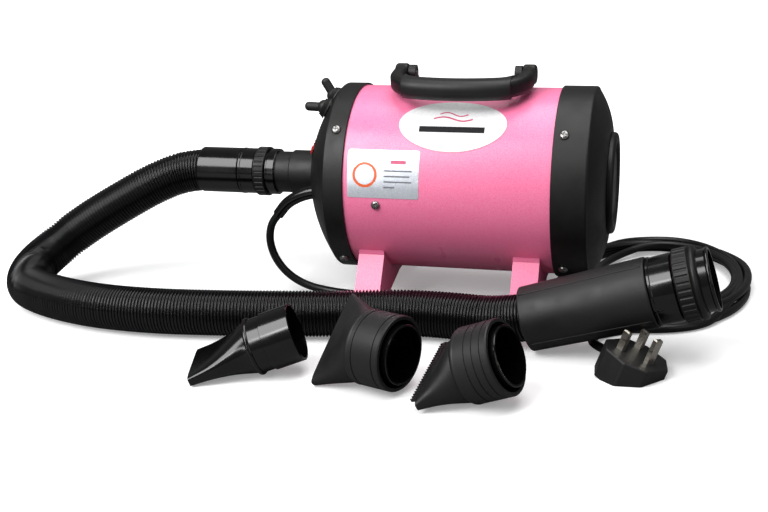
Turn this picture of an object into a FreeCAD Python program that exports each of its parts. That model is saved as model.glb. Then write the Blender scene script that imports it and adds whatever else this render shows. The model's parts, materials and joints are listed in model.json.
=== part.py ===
import FreeCAD, Part
import math
import os

# Pet dryer: a pink steel drum with black end caps, a folding handle, a corrugated
# air hose with a rubber grip, three loose nozzles and a coiled mains lead.
# Millimetres. Drum axis along X, outlet at -X, near side -Y, floor at z = 0.
# Places are written from the point on the floor under the middle of the drum;
# FRAME_SHIFT moves them so that the origin is the bottom centre of the object.

V = FreeCAD.Vector
FRAME_SHIFT = V(11.6, 90.8, 0.0)

# ---- drum ----
AXIS_HEIGHT = 115.0
SHELL_RADIUS = 87.5
SHELL_WALL = 1.2
SHELL_HALF_LENGTH = 107.0
BAND_START = 95.0          # the caps' bands begin this far from the middle
BAND_RADIUS = 89.7
BAND_BORE = 87.6
CAP_WALL = 2.5
OUTLET_BAND_END = -113.0
DOME_END = -146.0
INTAKE_BAND_END = 125.0
INTAKE_FACE = 140.5
INTAKE_OPENING = 40.0
GRILLE_DEPTH = 10.0
GRILLE_BAR = 2.5

# ---- cap and shell screws ----
CAP_SCREW_X = 104.5
SCREW_TURN = 138.5         # degrees from +Y of the upper near screw
SCREW_HEAD_RADIUS = 4.5
SCREW_SHANK_RADIUS = 1.9
SHELL_SCREW_X = -64.0
SHELL_SCREW_ANGLE = 183.5

# ---- outlet spigot and hose coupling ----
SPIGOT_RADIUS = 22.2
SPIGOT_STEP = -171.0
SPIGOT_TIP_RADIUS = 20.4
SPIGOT_TIP = -204.0
SPIGOT_BORE = 17.8
CUFF_START = -268.0
CUFF_END = -224.6
CUFF_RADIUS = 22.7
COUPLING_END = -185.6
HOSE_RADIUS = 20.5
HOSE_BORE_GAP = 0.25
HOSE_SHOULDER = -243.0
LOCK_RING_X = (-207.4, -196.2)
COLLAR_X = (-194.0, -186.0)

# ---- switches on the dome ----
TOGGLE_SEAT_X = -124.6
TOGGLE_SEAT_RADIUS = 75.6
TOGGLE_ANGLES = (111.0, 87.0)      # near and far lever, degrees from +Y
TOGGLE_TILTS = (27.5, -27.5)       # near lever in toward the spigot, far lever out
BALL_RADIUS = 7.2
LEVER_REACH = 22.5
ROCKER_X = -136.6
ROCKER_RADIUS = 49.0
ROCKER_ANGLE = 137.5
ROCKER_TILT = 7.0

# ---- legs ----
LEG_WIDTH = 24.5
LEG_CENTRES = (-75.0, 71.5)
LEG_WALL = 2.5
LEG_TOP_Y = 66.0
FOOT_Y = 103.0
FOOT_PAD = 3.0
FOOT_LENGTH = 15.0
GUSSET_WALL = 2.0
GUSSET_FLAT = 10.0
GUSSET_RISE = 22.0

# ---- folding handle ----
HANDLE_X = 4.0
PIVOT_HEIGHT = 216.0
ARM_CENTRE = 60.5
ARM_WIDTH = 13.0
ARM_HEIGHT = 17.0
ARM_CORNER = 5.0
KNUCKLE_RADIUS = 9.2
KNUCKLE_EDGE = 3.0
SEAM_Y = -14.0
SEAM_WIDTH = 0.8
SEAM_DEPTH = 0.6
GRIP_HALF = 38.0
GRIP_BOW = 3.5
COVER_HALF = 50.0
GRIP_REACH = 49.5
GRIP_DEPTH = 22.0
GRIP_HEIGHT = 19.0
GRIP_CORNER = 8.0
REST_SLOPE = 7.0
PIN_RADIUS = 2.5
PIN_REACH = 7.5            # from the arm's inner face through the bracket
BRACKET_SEAT = 205.6
BRACKET_WIDTH = 6.5

# ---- hand grip on the hose ----
GRIP_START = V(82.0, -137.0, 27.2)
GRIP_END = V(187.8, -138.0, 59.0)
SLEEVE_RADII = (28.5, 30.5)
HOSE_SEAT = 22.0           # the hose stops this deep in the grip, less its 2 mm stop
ADAPTER_RADIUS = 29.2
GRIP_RING_RADIUS = 31.4
SOCKET_RADIUS = 25.0
SOCKET_DEPTH = 20.0
NOZZLE_SLEEVE_RADIUS = 24.8

# ---- mains lead ----
LEAD_RADIUS = 3.9
RELIEF_RADIUS = 6.6        # at the housing, tapering to RELIEF_TIP_RADIUS
RELIEF_TIP_RADIUS = 5.4
COIL_CENTRE = V(182.0, 47.0, 0.0)
COIL_SEMI = (93.0, 128.0)
COIL_BAND = 42.0
COIL_HEIGHT = 15.0

# ---- cord routes: points chosen by hand along each centre line ----
RELIEF_ROUTE = [V(-130, -41, 108.5), V(-150, -41, 104), V(-166, -41, 95), V(-176, -41, 82.5)]
LEAD_ROUTE = [V(-176, -41, 82.5), V(-184.3, -41, 72.1), V(-187, -41, 55), V(-182, -41, 37),
              V(-170, -40.5, 21), V(-151, -39.5, 9.5), V(-124, -38.5, 4.2), V(-90, -42, 4),
              V(-48, -50, 4), V(0, -54, 4), V(44, -49, 4), V(76, -33, 4), V(96, -4, 4), V(102, 29, 4)]
TAIL_ROUTE = [V(240, -52, 4), V(222, -71, 4), V(196, -82, 4), V(166, -86, 4), V(144, -100, 4.2),
              V(136, -121, 6), V(142.3, -143.0, 9.4), V(152.7, -152.4, 9.4)]
HOSE_ROUTE = [V(-243, 0, 115), V(-280, 0, 115), V(-315, -11, 99.5), V(-352, -26, 77.5),
              V(-386, -40, 57.5), V(-412, -53, 42), V(-431, -83, 27.5), V(-421, -116, 21),
              V(-392, -133, 20.6), V(-356, -148, 20.6), V(-312, -158.5, 20.6), V(-258, -161, 20.6),
              V(-200, -155.5, 20.6), V(-143, -148, 20.6), V(-86, -137.5, 20.6), V(-38, -132.2, 20.6),
              V(10, -132.3, 20.6), V(60, -136.8, 20.6), V(101.1, -137.2, 32.9)]

# ---- loose nozzles: middle of the mouth, way it faces, roll about its axis ----
FLAT_NOZZLE = dict(mouth=V(-98.5, -222, 36.5), heading=-13.0, lift=19.0, roll=3.0)
FISHTAIL_NOZZLE = dict(mouth=V(0, -247.5, 33.5), heading=22.0, lift=1.5, roll=44.0)
COMB_NOZZLE = dict(mouth=V(87, -255, 42.8), heading=12.0, lift=22.5, roll=14.0)

TOOTH_COUNT = 28
TOOTH_PITCH = 2.8

# ---- plug ----
PLUG_PLACE = V(179.5, -176.5, 0.0)
PLUG_HEADING = -42.0       # degrees from +X of the way from cable exit to earth pin
PLUG_FACE_TILT = 20.0
PLUG_FACE_HEIGHT = 17.0
PLUG_DEPTH = 26.0

parts = {}


# ---------------------------------------------------------------- helpers
def lathe(points, base=V(0, 0, AXIS_HEIGHT), along=V(1, 0, 0)):
    """Turn a closed outline of (x, radius) stations about a line; a station may be
    ((x, r) of an arc's middle, (x, r) of its end)."""
    side = V(0, 0, 1) if abs(along.z) < 0.9 else V(0, 1, 0)
    up = along.cross(side).cross(along).normalize()

    def place(station):
        return base + along * station[0] + up * station[1]

    first = place(points[0])
    here = first
    edges = []
    for station in points[1:]:
        if isinstance(station[0], tuple):
            middle, end = place(station[0]), place(station[1])
            edges.append(Part.Arc(here, middle, end).toShape())
        else:
            end = place(station)
            edges.append(Part.LineSegment(here, end).toShape())
        here = end
    if here.distanceToPoint(first) > 1e-6:
        edges.append(Part.LineSegment(here, first).toShape())
    face = Part.Face(Part.Wire(edges))
    return face.revolve(base, along, 360)


def tube(x0, x1, outer, inner, base=V(0, 0, AXIS_HEIGHT), along=V(1, 0, 0), edge=0.0):
    """A straight ring with its outer edges rounded by edge."""
    if edge <= 0:
        return lathe([(x0, inner), (x1, inner), (x1, outer), (x0, outer)], base, along)
    k = edge * (1 - math.sqrt(0.5))
    return lathe([(x0, inner), (x1, inner), (x1, outer - edge), ((x1 - k, outer - k), (x1 - edge, outer)),
                  (x0 + edge, outer), ((x0 + k, outer - k), (x0, outer - edge))], base, along)


def rod(start, end, radius):
    return Part.makeCylinder(radius, (end - start).Length, start, end - start)


def box(centre, size):
    corner = centre - V(size[0] / 2, size[1] / 2, size[2] / 2)
    return Part.makeBox(size[0], size[1], size[2], corner)


def radial(angle):
    a = math.radians(angle)
    return V(0, math.cos(a), math.sin(a))


def on_drum(x, radius, angle):
    return V(x, 0, AXIS_HEIGHT) + radial(angle) * radius


def turned(shape, origin, z_dir, x_dir=None):
    """Stand a shape made about its own z axis at origin, with z along z_dir."""
    if x_dir is None:
        rotation = FreeCAD.Rotation(V(0, 0, 1), z_dir)
    else:
        rotation = FreeCAD.Rotation(x_dir, V(0, 0, 0), z_dir, "ZXY")
    result = shape.copy()
    result.Placement = FreeCAD.Placement(origin, rotation).multiply(shape.Placement)
    return result


def joined(shapes):
    result = shapes[0].multiFuse(shapes[1:]) if len(shapes) > 1 else shapes[0]
    return result.removeSplitter()


def group(shapes):
    solids = []
    for shape in shapes:
        solids.extend(shape.Solids)
    return Part.makeCompound(solids)


def corner_radii(points):
    """The arc radius at each inner point of a route."""
    radii = []
    for before, point, after in zip(points, points[1:], points[2:]):
        half_turn = (point - before).getAngle(after - point) / 2
        shorter = min((point - before).Length, (after - point).Length)
        radii.append(0.45 * shorter / math.tan(half_turn))
    return radii


def route_wire(points):
    """Straight runs joined by tangent arcs."""
    edges = []
    here = points[0]
    for index, radius in enumerate(corner_radii(points)):
        before, point, after = points[index:index + 3]
        a = (point - before).normalize()
        b = (after - point).normalize()
        half_turn = a.getAngle(b) / 2
        cut = radius * math.tan(half_turn)
        start, end = point - a * cut, point + b * cut
        inward = (b - a).normalize()
        middle = point + inward * (radius / math.cos(half_turn) - radius)
        edges.append(Part.LineSegment(here, start).toShape())
        edges.append(Part.Arc(start, middle, end).toShape())
        here = end
    edges.append(Part.LineSegment(here, points[-1]).toShape())
    return Part.Wire(edges)


def disc_outline(centre, along, radius):
    return Part.Wire([Part.Circle(centre, along, radius).toShape()])


def cord_tube(name, points, radius):
    """A round cord along a route, with its volume compared with section times length."""
    path = route_wire(points)
    solid = path.makePipeShell([disc_outline(points[0], points[1] - points[0], radius)], True, False)
    expected = math.pi * radius ** 2 * path.Length
    radii = corner_radii(points)
    print("%s: length %.0f mm, volume / expected %.4f, radii %s" % (
        name, path.Length, solid.Volume / expected, " ".join("%.0f" % r for r in radii)))
    return solid


def tapered_relief():
    """Rubber sleeve that tapers along the first bend of the lead."""
    first, last = RELIEF_ROUTE[0], RELIEF_ROUTE[-1]
    sections = [disc_outline(first, RELIEF_ROUTE[1] - first, RELIEF_RADIUS),
                disc_outline(last, last - RELIEF_ROUTE[-2], RELIEF_TIP_RADIUS)]
    return route_wire(RELIEF_ROUTE).makePipeShell(sections, True, False)


def rounded_section(centre, u_dir, v_dir, half_u, half_v, power):
    """A closed smooth outline between an ellipse (power 2) and a box."""
    count = 32
    points = []
    for i in range(count):
        a = 2 * math.pi * i / count
        c, s = math.cos(a), math.sin(a)
        u = math.copysign(abs(c) ** (2.0 / power), c) * half_u
        v = math.copysign(abs(s) ** (2.0 / power), s) * half_v
        points.append(centre + u_dir * u + v_dir * v)
    curve = Part.BSplineCurve()
    curve.interpolate(points, PeriodicFlag=True)
    return Part.Wire([curve.toShape()])


def rounded_rectangle(centre, u_dir, v_dir, half_u, half_v, corner):
    """A closed outline of four straight sides and four quarter arcs."""
    k = corner * (1 - math.sqrt(0.5))
    edges = []
    for su, sv in ((1, 1), (-1, 1), (-1, -1), (1, -1)):
        flip = su * sv > 0
        near_v = centre + u_dir * (su * half_u) + v_dir * (sv * (half_v - corner))
        near_u = centre + u_dir * (su * (half_u - corner)) + v_dir * (sv * half_v)
        middle = centre + u_dir * (su * (half_u - k)) + v_dir * (sv * (half_v - k))
        start, end = (near_v, near_u) if flip else (near_u, near_v)
        edges.append((start, middle, end))
    wire = []
    for index, (start, middle, end) in enumerate(edges):
        wire.append(Part.Arc(start, middle, end).toShape())
        wire.append(Part.LineSegment(end, edges[(index + 1) % 4][0]).toShape())
    return Part.Wire(wire)


def pan_screw(head_radius, head_height, shank_radius, shank_length):
    """A cross-recess pan-head screw standing on z = 0 with its shank below."""
    r, h = head_radius, head_height
    body = lathe([(-shank_length, 0), (-shank_length, shank_radius), (0, shank_radius), (0, r),
                  (0.25 * h, r), ((0.75 * h, 0.83 * r), (h, 0.45 * r)), (h, 0)], V(0, 0, 0), V(0, 0, 1))
    slot = 0.22 * r
    for length, width in ((1.15 * r, slot), (slot, 1.15 * r)):
        body = body.cut(box(V(0, 0, h), (length, width, 1.2 * h)))
    return body


def knurls(x0, x1, radius, base, along, count, depth, width):
    """Grooves along the axis, all round a ring."""
    side = V(0, 0, 1)
    first = along.cross(side).normalize()
    second = first.cross(along).normalize()
    cutters = []
    for i in range(count):
        a = 2 * math.pi * i / count
        out = first * math.cos(a) + second * math.sin(a)
        start = base + along * x0 + out * (radius + width - depth)
        cutters.append(Part.makeCylinder(width, x1 - x0, start, along))
    return cutters


# ---------------------------------------------------------------- drum and caps
def cap_screw_angles():
    return [SCREW_TURN + 90.0 * i for i in range(4)]


def screw_holes(x, radius):
    return [rod(on_drum(x, 80, a), on_drum(x, 95, a), radius) for a in cap_screw_angles()]


def make_shell():
    body = tube(-SHELL_HALF_LENGTH, SHELL_HALF_LENGTH, SHELL_RADIUS, SHELL_RADIUS - SHELL_WALL)
    holes = screw_holes(-CAP_SCREW_X, 2.0) + screw_holes(CAP_SCREW_X, 2.0)
    for angle in (SHELL_SCREW_ANGLE, SHELL_SCREW_ANGLE + 180):
        holes.append(rod(on_drum(SHELL_SCREW_X, 80, angle), on_drum(SHELL_SCREW_X, 95, angle), 2.0))
    return body.cut(Part.makeCompound(holes))


def dome_profile(offset):
    """Outline of the outlet dome, moved inward by offset: band end to spigot root."""
    return [(OUTLET_BAND_END + 0.3 * offset, BAND_RADIUS - offset),
            ((-114.4 + 0.6 * offset, 88.9 - offset), (-115.2 + 0.8 * offset, 87.4 - offset)),
            ((-132.5 + 0.94 * offset, 60.5 - 0.35 * offset),
             (DOME_END + offset, SPIGOT_RADIUS + 1.5 * offset / CAP_WALL))]


def toggle_frame(angle):
    """Seat point and outward direction of a toggle on the dome."""
    seat = on_drum(TOGGLE_SEAT_X, TOGGLE_SEAT_RADIUS, angle)
    outward = (V(-0.86, 0, 0) + radial(angle) * 0.51).normalize()
    return seat, outward


def rocker_frame():
    seat = on_drum(ROCKER_X, ROCKER_RADIUS, ROCKER_ANGLE)
    outward = (V(-0.93, 0, 0) + radial(ROCKER_ANGLE) * 0.367).normalize()
    along = (V(0.367, 0, 0) + radial(ROCKER_ANGLE) * 0.93).normalize()
    return seat, outward, along


def make_outlet_cap():
    outer = dome_profile(0.0)
    inner = dome_profile(CAP_WALL)
    stations = [(-BAND_START, BAND_BORE), (-BAND_START, BAND_RADIUS - 0.5),
                (-BAND_START - 0.5, BAND_RADIUS)]
    stations += outer
    stations += [(SPIGOT_STEP + 1, SPIGOT_RADIUS), (SPIGOT_STEP, SPIGOT_RADIUS - 1),
                 (SPIGOT_STEP, SPIGOT_TIP_RADIUS), (SPIGOT_TIP + 1, SPIGOT_TIP_RADIUS),
                 (SPIGOT_TIP, SPIGOT_TIP_RADIUS - 1), (SPIGOT_TIP, SPIGOT_BORE),
                 (DOME_END + CAP_WALL, SPIGOT_BORE), inner[2][1]]
    stations += [(inner[2][0], inner[1][1]), (inner[1][0], inner[0]), (inner[0][0], BAND_BORE)]
    body = lathe(stations)
    cutters = screw_holes(-CAP_SCREW_X, 2.1)
    for angle in TOGGLE_ANGLES:
        seat, outward = toggle_frame(angle)
        cutters.append(rod(seat - outward * 12, seat + outward * 8, 8.4))
        cutters.append(rod(seat, seat + outward * 8, 10.5))
    seat, outward, along = rocker_frame()
    cutters.append(turned(box(V(0, 0, 0), (13.4, 9.4, 16)), seat, outward, along))
    cutters.append(turned(box(V(0, 0, 3.5), (17.2, 12.8, 8)), seat, outward, along))
    relief_end = RELIEF_ROUTE[0] + (RELIEF_ROUTE[1] - RELIEF_ROUTE[0]) * 0.98
    cutters.append(rod(RELIEF_ROUTE[0], relief_end, RELIEF_RADIUS + 0.05))
    return body.cut(Part.makeCompound(cutters))


def make_intake_cap():
    """Band and domed face with a round air opening."""
    shoulder = INTAKE_BAND_END + 2.5
    stations = [(BAND_START, BAND_BORE), (BAND_START, BAND_RADIUS - 0.5), (BAND_START + 0.5, BAND_RADIUS),
                (INTAKE_BAND_END, BAND_RADIUS), ((INTAKE_BAND_END + 1.7, 88.9), (shoulder, 87.2)),
                ((INTAKE_FACE - 4.3, 70.0), (INTAKE_FACE, 52.0)), (INTAKE_FACE, INTAKE_OPENING),
                (INTAKE_FACE - CAP_WALL, INTAKE_OPENING), (INTAKE_FACE - CAP_WALL, 51.0),
                ((INTAKE_FACE - 6.8, 69.2), (shoulder - 2.4, 85.6)), (INTAKE_BAND_END - 1.5, BAND_BORE)]
    return lathe(stations).cut(Part.makeCompound(screw_holes(CAP_SCREW_X, 2.1)))


def make_grille():
    """Finger guard behind the intake opening: a shallow basket of rings on crossed bars."""
    x0 = INTAKE_FACE - CAP_WALL - GRILLE_DEPTH
    x1 = x0 + GRILLE_BAR
    wall = tube(x0, INTAKE_FACE - CAP_WALL, 50.0, 50.0 - GRILLE_BAR)
    rings = [tube(x0, x1, r, r - GRILLE_BAR) for r in (10.0, 20.0, 30.0, 40.0)]
    bars = [turned(box(V(0, 0, 0), (98, 3, GRILLE_BAR)), V((x0 + x1) / 2, 0, AXIS_HEIGHT), V(1, 0, 0),
                   radial(a))
            for a in (30, 90, 150)]
    return joined([wall] + rings + bars)


def make_cover():
    """Round cover that pulls off to reach the filter: a rounded rim, a middle disc and three ribs."""
    base = INTAKE_FACE + 0.4
    rim = lathe([(base, 36.5), (base, 47.6), (base + 1.8, 47.6), ((base + 4.3, 46.5), (base + 5.4, 44.2)),
                 (base + 5.4, 41.4), ((base + 4.6, 39.3), (base + 2.8, 38.2)), (base + 1.2, 36.5)])
    disc = lathe([(base - 1.5, 0), (base - 1.5, 31.0), (base + 1.6, 31.6),
                  ((base + 2.7, 31.1), (base + 3.1, 29.6)),
                  (base + 3.6, 0)])
    skirt = tube(base - 3.2, base + 1, 39.5, 37.5)
    ribs = [turned(box(V(34, 0, 0), (8, 7, 3)), V(base + 0.2, 0, AXIS_HEIGHT), V(1, 0, 0), radial(a))
            for a in (90, 210, 330)]
    return joined([rim, disc, skirt] + ribs)


def make_foam():
    x0 = INTAKE_FACE - CAP_WALL - GRILLE_DEPTH + GRILLE_BAR + 0.3
    return tube(x0, INTAKE_FACE - 1.3, 37.2, 0.0)


# ---------------------------------------------------------------- legs
def make_leg(x_centre):
    """A strap that cradles the drum and splays to two feet."""
    x0 = x_centre - LEG_WIDTH / 2
    inner, outer = SHELL_RADIUS + 0.05, SHELL_RADIUS + 0.05 + LEG_WALL
    half = math.degrees(math.asin(LEG_TOP_Y / inner))
    ring = Part.makeCylinder(outer, LEG_WIDTH, V(x0, 0, AXIS_HEIGHT), V(1, 0, 0)).cut(
        Part.makeCylinder(inner, LEG_WIDTH, V(x0, 0, AXIS_HEIGHT), V(1, 0, 0)))
    depth = outer * math.sin(math.radians(half))
    cradle = ring.common(Part.makeBox(LEG_WIDTH, 2 * depth, AXIS_HEIGHT, V(x0, -depth, 0)))
    floor = FOOT_PAD
    pieces = [cradle]
    for side in (-1, 1):
        top_z = AXIS_HEIGHT - math.sqrt(inner ** 2 - LEG_TOP_Y ** 2)
        slope = V(0, FOOT_Y - LEG_TOP_Y, floor - top_z).normalize()
        normal = V(0, -slope.z, slope.y)
        lean = LEG_WALL / abs(normal.z)
        outline = [(LEG_TOP_Y, top_z), (FOOT_Y, floor), (FOOT_Y - LEG_WALL / abs(slope.z), floor),
                   (LEG_TOP_Y - 2.0, top_z - lean + 1.9)]
        wire = Part.makePolygon([V(x0, side * y, z) for y, z in outline + outline[:1]])
        pieces.append(Part.Face(wire).extrude(V(LEG_WIDTH, 0, 0)))
        y0 = FOOT_Y - FOOT_LENGTH if side > 0 else -FOOT_Y
        pieces.append(Part.makeBox(LEG_WIDTH, FOOT_LENGTH, LEG_WALL, V(x0, y0, floor)))
    pieces.append(make_gusset(x0 + LEG_WIDTH - GUSSET_WALL, inner))
    return joined(pieces)


def make_gusset(x, inner):
    """Web along one edge of a leg, from foot to foot under the drum."""
    top = AXIS_HEIGHT - math.sqrt(inner ** 2 - LEG_TOP_Y ** 2) - 1
    sole = FOOT_PAD + LEG_WALL / 2
    heel = FOOT_Y - FOOT_LENGTH + 1
    outline = [(-(LEG_TOP_Y - 1), top), (-(FOOT_Y - 2.5), sole), (-heel, sole),
               (-GUSSET_FLAT, GUSSET_RISE),
               (GUSSET_FLAT, GUSSET_RISE), (heel, sole), (FOOT_Y - 2.5, sole), (LEG_TOP_Y - 1, top)]
    wire = Part.makePolygon([V(x, y, z) for y, z in outline + outline[:1]])
    web = Part.Face(wire).extrude(V(GUSSET_WALL, 0, 0))
    return web.cut(Part.makeCylinder(inner, LEG_WIDTH * 2, V(x - LEG_WIDTH, 0, AXIS_HEIGHT), V(1, 0, 0)))


def make_feet():
    pads = []
    for x_centre in LEG_CENTRES:
        for side in (-1, 1):
            centre = V(x_centre, side * (FOOT_Y - FOOT_LENGTH / 2), FOOT_PAD / 2)
            pads.append(box(centre, (LEG_WIDTH - 1, FOOT_LENGTH - 1, FOOT_PAD)))
    return group(pads)


def leg_bolt_places():
    places = []
    for x_centre in LEG_CENTRES:
        for angle in (246.0, 294.0):
            places.append((x_centre, angle))
    return places


def make_leg_bolts():
    bolts = []
    for x, angle in leg_bolt_places():
        seat = on_drum(x, SHELL_RADIUS + LEG_WALL + 0.05, angle)
        bolts.append(turned(pan_screw(4.0, 2.4, 1.9, 9.0), seat, radial(angle)))
    return group(bolts)


def drill_leg_bolts(shape):
    holes = [rod(on_drum(x, 80, a), on_drum(x, 95, a), 2.0) for x, a in leg_bolt_places()]
    return shape.cut(Part.makeCompound(holes))


# ---------------------------------------------------------------- screws
def make_cap_screws(x):
    screws = []
    for angle in cap_screw_angles():
        screw = pan_screw(SCREW_HEAD_RADIUS, 2.6, SCREW_SHANK_RADIUS, 7.0)
        screws.append(turned(screw, on_drum(x, BAND_RADIUS + 0.02, angle), radial(angle)))
    return group(screws)


def make_shell_screws():
    screws = []
    for angle in (SHELL_SCREW_ANGLE, SHELL_SCREW_ANGLE + 180):
        screw = pan_screw(4.2, 2.6, SCREW_SHANK_RADIUS, 7.0)
        screws.append(turned(screw, on_drum(SHELL_SCREW_X, SHELL_RADIUS + 0.08, angle), radial(angle)))
    return group(screws)


# ---------------------------------------------------------------- folding handle
def bracket_x(side):
    return HANDLE_X + side * (ARM_CENTRE - ARM_WIDTH / 2 - 0.4 - BRACKET_WIDTH / 2)


def make_bracket(side):
    """A foot on the drum with a barrel for the hinge pin."""
    x = bracket_x(side)
    outline = [(-17, 190), (17, 190), (17, 203.2), (7.4, 213.5), (-7.4, 213.5), (-17, 203.2)]
    x0 = x - BRACKET_WIDTH / 2
    wire = Part.makePolygon([V(x0, y, z) for y, z in outline + outline[:1]])
    web = Part.Face(wire).extrude(V(BRACKET_WIDTH, 0, 0))
    barrel = Part.makeCylinder(7.8, BRACKET_WIDTH, V(x0, 0, PIVOT_HEIGHT), V(1, 0, 0))
    body = joined([web, barrel])
    drum = Part.makeCylinder(SHELL_RADIUS + 0.05, 40, V(x - 20, 0, AXIS_HEIGHT), V(1, 0, 0))
    body = body.cut(drum)
    body = body.cut(Part.makeCylinder(PIN_RADIUS + 0.03, 30, V(x - 15, 0, PIVOT_HEIGHT), V(1, 0, 0)))
    for y in (-12.5, 12.5):
        body = body.cut(Part.makeCylinder(2.0, 30, V(x, y, 185), V(0, 0, 1)))
        body = body.cut(Part.makeCylinder(3.1, 30, V(x, y, BRACKET_SEAT), V(0, 0, 1)))
    return body


def make_bracket_screws():
    screws = []
    for side in (-1, 1):
        for y in (-12.5, 12.5):
            screws.append(turned(pan_screw(3.0, 1.8, 1.9, 9.0), V(bracket_x(side), y, BRACKET_SEAT),
                                 V(0, 0, 1)))
    return group(screws)


def drill_bracket_screws(shape):
    holes = []
    for side in (-1, 1):
        for y in (-12.5, 12.5):
            holes.append(Part.makeCylinder(2.0, 40, V(bracket_x(side), y, 172), V(0, 0, 1)))
    return shape.cut(Part.makeCompound(holes))


def make_pins():
    pins = []
    for side in (-1, 1):
        inner = HANDLE_X + side * (ARM_CENTRE - ARM_WIDTH / 2 - PIN_REACH)
        outer = HANDLE_X + side * (ARM_CENTRE + ARM_WIDTH / 2 - 1.5)
        pins.append(rod(V(inner, 0, PIVOT_HEIGHT), V(outer, 0, PIVOT_HEIGHT), PIN_RADIUS))
    return group(pins)


def bail_wire():
    """Centre line of the bail in its own plane: x across, -y forward."""
    reach = GRIP_REACH - GRIP_BOW
    bow_radius = (GRIP_HALF ** 2 + GRIP_BOW ** 2) / (2 * GRIP_BOW)
    slope = math.asin(GRIP_HALF / bow_radius)
    turn = math.pi / 2 - slope
    corner = (ARM_CENTRE - GRIP_HALF) / (1 - math.cos(turn))
    start_y = reach - corner * math.sin(turn)
    half = turn / 2
    corner_mid = V(-ARM_CENTRE + corner * (1 - math.cos(half)), -start_y - corner * math.sin(half), 0)
    left, right = V(-GRIP_HALF, -reach, 0), V(GRIP_HALF, -reach, 0)
    bow = Part.Arc(left, V(0, -GRIP_REACH, 0), right).toShape()
    mirrored_mid = V(-corner_mid.x, corner_mid.y, 0)
    return Part.Wire([
        Part.LineSegment(V(-ARM_CENTRE, 0, 0), V(-ARM_CENTRE, -start_y, 0)).toShape(),
        Part.Arc(V(-ARM_CENTRE, -start_y, 0), corner_mid, left).toShape(),
        bow,
        Part.Arc(right, mirrored_mid, V(ARM_CENTRE, -start_y, 0)).toShape(),
        Part.LineSegment(V(ARM_CENTRE, -start_y, 0), V(ARM_CENTRE, 0, 0)).toShape()])


def at_rest(shape):
    """Put a bail piece on its pivot, folded down toward the near side."""
    place = FreeCAD.Placement(V(HANDLE_X, 0, PIVOT_HEIGHT), FreeCAD.Rotation(V(1, 0, 0), REST_SLOPE))
    result = shape.copy()
    result.Placement = place.multiply(shape.Placement)
    return result


def bail_sweep(half_width, half_height, corner):
    section = rounded_rectangle(V(-ARM_CENTRE, 0, 0), V(1, 0, 0), V(0, 0, 1), half_width, half_height,
                                corner)
    return bail_wire().makePipeShell([section], True, False)


def knuckle(side):
    """Rounded end of an arm, about the hinge line."""
    half, r, edge = ARM_WIDTH / 2, KNUCKLE_RADIUS, KNUCKLE_EDGE
    k = edge * (1 - math.sqrt(0.5))
    return lathe([(-half, 0), (-half, r - edge), ((k - half, r - k), (edge - half, r)), (half - edge, r),
                  ((half - k, r - k), (half, r - edge)), (half, 0)], V(side * ARM_CENTRE, 0, 0),
                  V(1, 0, 0))


def bail_core():
    core = joined([bail_sweep(ARM_WIDTH / 2, ARM_HEIGHT / 2, ARM_CORNER), knuckle(-1), knuckle(1)])
    bores = [Part.makeCylinder(PIN_RADIUS + 0.12, ARM_WIDTH - 1,
                               V(side * ARM_CENTRE - (ARM_WIDTH / 2 if side > 0 else ARM_WIDTH / 2 - 1),
                                 0, 0),
                               V(1, 0, 0)) for side in (-1, 1)]
    smaller = bail_sweep(ARM_WIDTH / 2 - SEAM_DEPTH, ARM_HEIGHT / 2 - SEAM_DEPTH, ARM_CORNER - SEAM_DEPTH)
    seams = [box(V(side * ARM_CENTRE, SEAM_Y, 0), (30, SEAM_WIDTH, 30)).cut(smaller) for side in (-1, 1)]
    return core.cut(Part.makeCompound(bores)).cut(Part.makeCompound(seams))


def grip_cover():
    """Soft sleeve over the middle of the bail."""
    sweep = bail_sweep(GRIP_DEPTH / 2, GRIP_HEIGHT / 2, GRIP_CORNER)
    return sweep.common(box(V(0, -44, 0), (2 * COVER_HALF, 44, 60)))


# ---------------------------------------------------------------- badge and label
def drum_patch(outline_face, thickness):
    """Cut a thin curved patch out of a cylinder wall with a face extruded along Y."""
    ring = tube(-100, 100, SHELL_RADIUS + 0.05 + thickness, SHELL_RADIUS + 0.05)
    return ring.common(outline_face)


def make_badge():
    """Oval plate bent to the drum, facing up and toward the near side."""
    facing = radial(132.0)
    centre = on_drum(3.0, 60, 132.0)
    ellipse = Part.Ellipse(V(0, 0, 0), 49.5, 27.5)
    column = Part.Face(Part.Wire([ellipse.toShape()])).extrude(V(0, 0, 60))
    return drum_patch(turned(column, centre, facing, V(1, 0, 0)), 0.6)


def make_label():
    facing = radial(164.5)
    centre = on_drum(-57.0, 60, 164.5)
    column = box(V(0, 0, 30), (67.0, 44.0, 60))
    column = column.makeFillet(2.0,
                               [e for e in column.Edges if abs(e.tangentAt(e.FirstParameter).z) > 0.9])
    return drum_patch(turned(column, centre, facing, V(1, 0, 0)), 0.25)


# ---------------------------------------------------------------- switches
def make_toggle_rings():
    """Ribbed rubber collars that hold the toggles in the dome."""
    rings = []
    for angle in TOGGLE_ANGLES:
        seat, outward = toggle_frame(angle)
        ring = lathe([(-5.5, 5.7), (-5.5, 8.3), (0.1, 8.3), (0.1, 10.4), (1.2, 10.2), (1.5, 9.4),
                      (2.6, 9.6), (2.9, 8.8),
                      (4.0, 9.0), (4.3, 8.2), (5.4, 8.3), (5.6, 7.9), (5.6, 7.14),
                      ((3.0, 7.6), (-2.0, 5.72)),
                      (-5.5, 5.7)], V(0, 0, 0), V(0, 0, 1))
        rings.append(turned(ring, seat, outward))
    return group(rings)


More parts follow.
